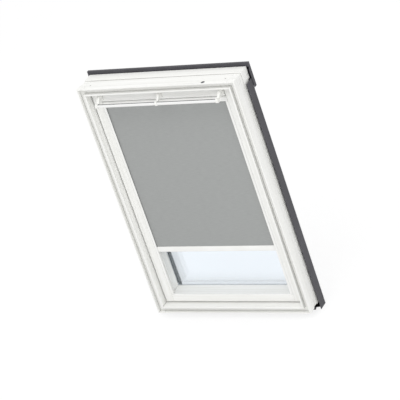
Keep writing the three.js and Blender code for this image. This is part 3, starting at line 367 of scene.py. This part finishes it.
pineUpright = paintedPine("paintedPineUpright", 2)
pineAcross = paintedPine("paintedPineAcross", 0)
# greyer copies of the painted pine: painted shade for the grooves' recessed faces
grooveShadeUpright = paintedPine("paintedPineGrooveShadeUpright", 2, "#d2d2cf", "#cdcdca", "#d7d7d4")
grooveShadeAcross = paintedPine("paintedPineGrooveShadeAcross", 0, "#d2d2cf", "#cdcdca", "#d7d7d4")
cladding = coatedAluminium()
# the control bar in a shaded and a lit copy: grey painted shade on most faces, a pale painted highlight on the front
barShadedSkin = anodisedAluminium("anodisedAluminium", "#808184", "#76777a", "#8b8c8f", 0.8)
barPaintedHighlight = anodisedAluminium("anodisedAluminiumPaintedHighlight", "#f0f0ee", "#e9e9e8", "#f6f6f4", 0.15)
zinc = galvanisedSteel()
nylon = mouldedNylon("mouldedNylon", "#f4f4f1", "#eeeeea")
# a dark grey copy of the white nylon for the cable plug: painted shade for the dark cable hole
nylonPaintedShade = mouldedNylon("mouldedNylonShaded", "#5c5d60", "#545558")
blindAluminium = powderCoatedAluminium()
rubber = extrudedRubber()
spacerSteel = rolledSpacer()
glass = floatGlass()
clothFront = blackoutCloth("blackoutClothFront", "#9c9e9d", "#a4a6a5", 0.85)
clothBack = blackoutCloth("blackoutClothBack", "#d8d9da", "#e2e3e3", 0.6)
foam = openFoam()
print("materials made")


# Pieces from the CAD nodes

softening = {
    "merge": 1e-6,      # m, between corners that are one
    "flat": 0.3,        # degrees, up to which neighbouring faces are one
    "turn": 32.0,       # degrees, from which an edge is sharp and is rounded
    "segments": 2,
    "facing": 0.5,      # how squarely a face looks forwards or backwards to count as front or back
}


def newObject(name, data):
    made = bpy.data.objects.new(name, data)
    bpy.context.collection.objects.link(made)
    return made


def pieceName(node):
    words = node.split("_")
    return words[0] + "".join(word.capitalize() for word in words[1:])


def roundedCopy(node, material, rounding):
    # The CAD node's shape with its loose triangles merged and flat ones joined into whole faces; every edge that turns
    # more than softening["turn"] degrees becomes an arc of the given radius.
    mesh = frame["nodes"][node].data.copy()
    work = bmesh.new()
    work.from_mesh(mesh)
    bmesh.ops.remove_doubles(work, verts=work.verts, dist=softening["merge"])
    bmesh.ops.dissolve_limit(work, angle_limit=math.radians(softening["flat"]), verts=work.verts, edges=work.edges)
    work.to_mesh(mesh)
    work.free()
    mesh.polygons.foreach_set("use_smooth", np.ones(len(mesh.polygons), bool))
    mesh.set_sharp_from_angle(angle=math.radians(softening["turn"]))
    mesh.materials.clear()
    mesh.materials.append(material)
    mesh.polygons.foreach_set("material_index", np.zeros(len(mesh.polygons), np.int32))
    piece = newObject(pieceName(node), mesh)
    if rounding:
        bevel = piece.modifiers.new("rounding", "BEVEL")
        bevel.width = rounding * mm
        bevel.segments = softening["segments"]
        bevel.limit_method = "ANGLE"
        bevel.angle_limit = math.radians(softening["turn"])
        bevel.harden_normals = True
    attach(piece, bodyOf[node])
    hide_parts(node)
    return piece


# rounding in mm: lacquered wood is sanded to about 1 mm, sheet and mouldings keep finer edges
finishes = [
    (pineAcross, 0.9, "white_painted_wood", ["frame_top", "frame_bottom", "sash_top", "sash_bottom", "flap_board"]),
    (pineUpright, 0.9, "white_painted_wood", ["frame_left", "frame_right", "sash_left", "sash_right"]),
    (cladding, 0.0, "grey_cover", [
        "side_cover_left", "side_cover_right", "cover_cap_left", "cover_cap_right", "hood", "hood_bracket",
        "sill_apron", "sash_trim_left", "sash_trim_right", "sash_cover_left", "sash_cover_right", "sash_cover_top",
        "sash_cover_bottom"]),
    (rubber, 0.0, "black_rubber", ["frame_seal", "cap_seal", "inner_gasket", "outer_gasket", "flap_seal"]),
    (zinc, 0.25, "zinc_steel", [
        "hinge_frame_left", "hinge_frame_right", "hinge_sash_left", "hinge_sash_right", "striker_plate", "lock_case",
        "latch", "snib_bolt", "roller_shaft"]),
    (barShadedSkin, 0.5, "anodised_aluminium", ["control_bar"]),
    (nylon, 0.4, "white_plastic", [
        "bar_arm_left", "bar_arm_middle", "bar_arm_right", "bolt_bush", "casing_bracket_left",
        "casing_bracket_right", "roller_plug_left", "roller_plug_right", "bar_end_left", "bar_end_right"]),
    # the cable plug is drawn dark, as painted shade of its hole
    (nylonPaintedShade, 0.4, "white_plastic", ["cable_plug"]),
    (blindAluminium, 0.3, "white_aluminium", ["blind_casing", "rail_left", "rail_right", "bottom_bar"]),
    (zinc, 0.0, "zinc_steel", ["roller_tube"]),
]
pieces = {node: roundedCopy(node, material, rounding)
          for material, rounding, slotName, nodes in finishes for node in nodes}


def secondFinish(piece, material, chosen):
    # the faces for which chosen(centre, normal) holds take a second material
    mesh = piece.data
    centre, normal = np.zeros(len(mesh.polygons) * 3), np.zeros(len(mesh.polygons) * 3)
    mesh.polygons.foreach_get("center", centre)
    mesh.polygons.foreach_get("normal", normal)
    mesh.materials.append(material)
    picked = chosen(centre.reshape(-1, 3), normal.reshape(-1, 3))
    mesh.polygons.foreach_set("material_index", picked.astype(np.int32))


grooves = {
    "floor": 5 * mm,      # y of the lining groove's floor
    "nose": 26 * mm,      # where that groove ends, in from the outline
    "collar": 2.5 * mm,   # depth of the collar groove
    "near": 0.3 * mm,
}
outline = {"half": float(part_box("frame_right")[1][0]), "top": float(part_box("frame_top")[1][2])}


def inGrooves(centre, normal):
    # inset = the distance in from the frame's outline, the least over both sides, top and bottom;
    # chosen are the lining groove's wall nearest the opening and the collar groove's floor
    inset = np.minimum(np.minimum(outline["half"] - np.abs(centre[:, 0]), centre[:, 2]), outline["top"] - centre[:, 2])
    wall = (np.abs(inset - grooves["nose"]) < grooves["near"]) & (centre[:, 1] < grooves["floor"])
    collar = (np.abs(inset - grooves["collar"]) < grooves["near"]) & (centre[:, 1] > grooves["floor"])
    return wall | collar


# the lining groove's wall nearest the opening and the collar groove's floor take the greyer copy, as painted shade
for node, material in (("frame_left", grooveShadeUpright), ("frame_right", grooveShadeUpright),
                       ("frame_top", grooveShadeAcross), ("frame_bottom", grooveShadeAcross)):
    secondFinish(pieces[node], material, inGrooves)
# the forward-looking faces of the control bar take the pale copy, a painted highlight
secondFinish(pieces["control_bar"], barPaintedHighlight, lambda centre, normal: normal[:, 1] < -softening["facing"])

# the panes and the spacer keep their CAD shapes
for node, material in (("inner_pane", glass), ("outer_pane", glass), ("spacer_frame", spacerSteel)):
    for materialSlot in frame["nodes"][node].material_slots:
        materialSlot.material = material
print("pieces carried over from the CAD")


# Surfaces worked out on a grid

def gridFaces(rows, columns, closed=False):
    # quads between neighbouring rows and columns of a grid of points; closed joins the last column to the first
    r, c = np.meshgrid(np.arange(rows - 1), np.arange(columns if closed else columns - 1), indexing="ij")
    r, c = r.ravel(), c.ravel()
    nextC = (c + 1) % columns
    return np.stack([r * columns + c, r * columns + nextC, (r + 1) * columns + nextC, (r + 1) * columns + c], axis=1)


def newPiece(name, points, faces, material, closed=True):
    # an object at the origin from points and faces; a closed one is smooth and has its faces turned outwards
    mesh = bpy.data.meshes.new(name)
    mesh.from_pydata(np.asarray(points, float).reshape(-1, 3), [], faces)
    mesh.materials.append(material)
    mesh.polygons.foreach_set("use_smooth", np.full(len(mesh.polygons), closed))
    mesh.update()
    if closed:
        work = bmesh.new()
        work.from_mesh(mesh)
        bmesh.ops.recalc_face_normals(work, faces=work.faces)
        work.to_mesh(mesh)
        work.free()
    return newObject(name, mesh)


def layCloth(mesh, uv):
    # uv is the place of each point along and across the cloth in metres, so that the weave keeps its real size
    corners = np.zeros(len(mesh.loops), np.int32)
    mesh.loops.foreach_get("vertex_index", corners)
    mesh.uv_layers.new(name="cloth").data.foreach_set("uv", uv[corners].ravel())
    mesh.update()


# The blind's cloth

cloth = {
    "columns": 60,
    "thickness": 0.35 * mm,   # woven polyester with a coat on its back
    "intoBar": 12 * mm,       # how far its lower edge is held inside the bar
    "ripple": 0.35 * mm,      # slack between the rails
    "halfWaves": 3,           # of that slack, down the drop
    "drift": 5,               # of those waves across the width, in radians
    # one cloth in three lengths, each with where it starts and ends along the drop and its rows
    "lengths": [("blindClothTop", 0.0, 0.1386, 26), ("blindCloth", 0.1386, 0.8614, 104),
                ("blindClothFoot", 0.8614, 1.0, 26)],
}


def makeClothLength(name, first, last, rows):
    # Two layers of the grid (u across, v down): x = width (u - 1/2), z = top - length v, and
    # y = front + ripple (1 - (2u - 1)^2)^2 sin(halfWaves pi v) cos(drift u) (1 - v),
    # the second layer one thickness behind the first, with their rims joined.
    low, high = (np.array(corner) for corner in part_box("fabric"))
    bottom = low[2] - cloth["intoBar"]
    v, u = np.meshgrid(np.linspace(first, last, rows), np.linspace(0, 1, cloth["columns"]), indexing="ij")
    x = low[0] + (high[0] - low[0]) * u
    z = high[2] + (bottom - high[2]) * v
    edge = (1 - (2 * u - 1) ** 2) ** 2
    wave = np.sin(cloth["halfWaves"] * np.pi * v) * np.cos(cloth["drift"] * u) * (1 - v)
    front = np.stack([x, low[1] + cloth["ripple"] * edge * wave, z], axis=-1).reshape(-1, 3)
    back = front + [0, cloth["thickness"], 0]
    count = len(front)
    quads = gridFaces(rows, cloth["columns"])
    index = np.arange(count).reshape(rows, cloth["columns"])
    rim = np.concatenate([index[0, :-1], index[:-1, -1], index[-1, :0:-1], index[:0:-1, 0]])
    after = np.roll(rim, -1)
    sides = np.stack([rim, after, after + count, rim + count], axis=1)
    faces = np.concatenate([quads[:, ::-1], quads + count, sides])
    piece = newPiece(name, np.concatenate([front, back]), faces, clothFront)
    secondFinish(piece, clothBack, lambda centre, normal: normal[:, 1] > softening["facing"])
    piece.data.set_sharp_from_angle(angle=math.radians(softening["turn"]))
    uv = np.stack([x.ravel(), z.ravel()], axis=1)
    layCloth(piece.data, np.concatenate([uv, uv]))
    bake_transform(piece)
    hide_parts("fabric")
    return piece, (float(high[0] - low[0]), float(high[2] - bottom))


def makeCloth():
    (top, flat), (whole, flat), (foot, flat) = (makeClothLength(*length) for length in cloth["lengths"])


roll = {
    "turns": 3,
    "steps": 96,            # to a turn
    "band": 0.36 * mm,      # thickness of the cloth as it is wound
    "outer": 0.4 * mm,      # from the last turn's inner face to the roll's outside
    "play": 0.05 * mm,      # between the tube and the first turn
}


def makeRoll():
    # The wound cloth: radius = inner + (outer - inner) angle / (2 pi turns), a spiral band one cloth thick, carried
    # along x.
    low, high = (np.array(corner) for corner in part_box("fabric_roll"))
    tubeLow, tubeHigh = (np.array(corner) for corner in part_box("roller_tube"))
    centre = (low + high) / 2
    outer = (high[2] - low[2]) / 2 - roll["outer"]
    inner = (tubeHigh - tubeLow)[2] / 2 + roll["play"]
    angle = np.linspace(0, 2 * np.pi * roll["turns"], roll["steps"] * roll["turns"])
    radius = inner + (outer - inner) * angle / angle[-1]
    outerRing, innerRing = (np.stack([centre[1] + r * np.cos(angle), centre[2] + r * np.sin(angle)], axis=1)
                            for r in (radius + roll["band"], radius))
    section = np.concatenate([outerRing, innerRing[::-1]])
    along = np.concatenate([radius * angle, (radius * angle)[::-1]])
    ends = [np.full((len(section), 1), x) for x in (low[0], high[0])]
    half = len(radius)
    i = np.arange(half - 1)
    cap = np.stack([i, i + 1, 2 * half - 2 - i, 2 * half - 1 - i], axis=1)
    faces = np.concatenate([gridFaces(2, len(section), closed=True), cap[:, ::-1], cap + len(section)])
    piece = newPiece("clothRoll", np.concatenate([np.hstack([x, section]) for x in ends]), faces, clothFront)
    layCloth(piece.data, np.concatenate([np.hstack([x, along[:, None]]) for x in ends]))
    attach(piece, "roller")
    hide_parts("fabric_roll")


strip = {
    "columns": 24, "rows": 260,
    "power": 0.35,      # 1 is round, 0 square
    "cut": 0.02,        # depth of the uneven cut, as a share of half the strip's width
    "waves": 900,       # along x, in radians to the metre: one wave in 7 mm
    "twist": 3,         # waves round the section
}


def makeFilter():
    # The foam strip, a rounded slab with x along it: y = middle + half |cos a|^power wave, with the sign of cos a, and
    # z the same with sin a. The face of the cut isn't flat: wave = 1 - cut (1 + sin(waves x + twist a)).
    low, high = (np.array(corner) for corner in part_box("air_filter"))
    centre, half = (low + high) / 2, (high - low) / 2
    columns, rows = strip["columns"], strip["rows"]
    angle = np.linspace(0, 2 * np.pi, columns, endpoint=False)
    squared = lambda turn: np.sign(turn) * np.abs(turn) ** strip["power"]
    x = np.linspace(low[0], high[0], rows)[:, None]
    wave = 1 - strip["cut"] * (1 + np.sin(x * strip["waves"] + strip["twist"] * angle))
    y = centre[1] + half[1] * squared(np.cos(angle)) * wave
    z = centre[2] + half[2] * squared(np.sin(angle)) * wave
    points = np.stack([np.broadcast_to(x, y.shape), y, z], axis=-1)
    ends = [list(range(columns))[::-1], list(range((rows - 1) * columns, rows * columns))]
    piece = newPiece("airFilter", points, gridFaces(rows, columns, closed=True).tolist() + ends, foam)
    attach(piece, bodyOf["air_filter"])
    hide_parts("air_filter")


makeCloth()
makeRoll()
makeFilter()
print("cloth, roll and filter made")


# Floor, light and camera

studio = {
    "shown": 1.0,            # strength of the background that the camera sees, where 1 is white
    "skyLight": 0.80,        # strength of the sky that lights the object
    "floorColor": "#f7f7f7",
    "floorGlow": 1.05,       # the floor's own glow against the background's
    "floorShadow": 0.2,      # how much of the floor that the camera sees is lit surface
    "floorReach": 14.0,      # m, from the middle to each side
    "floorDrop": 0.5 * mm,   # below the part
    "aim": (0, 0, 0.6),
    # each lamp's size, power and place
    "lamps": {"keyLamp": (3.0, 88.0, (0.4, -2.6, 5.6)), "fillLamp": (2.5, 18.0, (3.5, -2.2, 1.6))},
}
white = linear("#ffffff")


def seenDirectly(tree):
    # 1 for rays from the camera, a mirror or through glass, so that all of them meet the same pale background
    path = addNode(tree, "ShaderNodeLightPath")
    seen = path.outputs["Is Camera Ray"]
    for kind in ("Is Glossy Ray", "Is Transmission Ray"):
        either = addNode(tree, "ShaderNodeMath", settings={"operation": "MAXIMUM"},
                         links={0: seen, 1: path.outputs[kind]})
        seen = either.outputs["Value"]
    return seen


def makeSky():
    world = bpy.data.worlds.new("paleStudio")
    bpy.context.scene.world = world
    tree = clearedTree(world)
    light, shown = (addNode(tree, "ShaderNodeBackground", values={"Color": white, "Strength": studio[key]})
                    for key in ("skyLight", "shown"))
    mix = addNode(tree, "ShaderNodeMixShader", links={
        "Fac": seenDirectly(tree), 1: light.outputs["Background"], 2: shown.outputs["Background"]})
    addNode(tree, "ShaderNodeOutputWorld", links={"Surface": mix.outputs["Shader"]})


def makeFloor():
    material = bpy.data.materials.new("paleFloor")
    tree = clearedTree(material)
    lit = addNode(tree, "ShaderNodeBsdfDiffuse", values={"Color": linear(studio["floorColor"])})
    glow = addNode(tree, "ShaderNodeEmission",
                   values={"Color": white, "Strength": studio["shown"] * studio["floorGlow"]})
    share = addNode(tree, "ShaderNodeMath", settings={"operation": "MULTIPLY"},
                    values={1: 1 - studio["floorShadow"]}, links={0: seenDirectly(tree)})
    mix = addNode(tree, "ShaderNodeMixShader", links={
        "Fac": share.outputs["Value"], 1: lit.outputs["BSDF"], 2: glow.outputs["Emission"]})
    addNode(tree, "ShaderNodeOutputMaterial", links={"Surface": mix.outputs["Shader"]})
    low, reach = float(cadBox[0][2]) - studio["floorDrop"], studio["floorReach"]
    corners = [(-reach, -reach, low), (reach, -reach, low), (reach, reach, low), (-reach, reach, low)]
    floor = newPiece("studioFloor", corners, [(0, 1, 2, 3)], material, closed=False)


def stand(name, data, right, up, back, place):
    # an object for a lamp or a camera, which looks against its own back axis
    holder = newObject(name, data)
    holder.matrix_world = Matrix([[right[i], up[i], back[i], place[i]] for i in range(3)] + [[0, 0, 0, 1]])
    return holder


def makeLamps():
    for name, (size, power, place) in studio["lamps"].items():
        lamp = bpy.data.lights.new(name, "AREA")
        lamp.shape = "DISK"
        lamp.size = size
        lamp.energy = power
        back = np.subtract(place, studio["aim"])
        back /= np.linalg.norm(back)
        right = np.cross([0, 0, 1], back)
        right /= np.linalg.norm(right)
        stand(name, lamp, right, np.cross(back, right), back, place)


# the photo's own view: its focal length and turn were fitted to the corners of the frame's lips
view = {
    "lens": 216.58, "sensor": 36.0, "near": 0.1, "far": 100.0, "place": (5.32287, -7.55567, 5.41992),
    "right": (0.8607, 0.4160, -0.2935), "up": (0.0202, 0.5481, 0.8362), "forward": (-0.5088, 0.7256, -0.4633),
}


def makeCamera():
    camera = bpy.data.cameras.new("photoCamera")
    camera.sensor_width = view["sensor"]
    camera.lens = view["lens"]
    camera.clip_start, camera.clip_end = view["near"], view["far"]
    right, up, forward = (np.array(view[key]) / np.linalg.norm(view[key]) for key in ("right", "up", "forward"))
    bpy.context.scene.camera = stand("photoCamera", camera, right, up, -forward, view["place"])


makeSky()
makeFloor()
makeLamps()
makeCamera()
bpy.context.scene.view_settings.view_transform = "Standard"
print("studio and camera made")
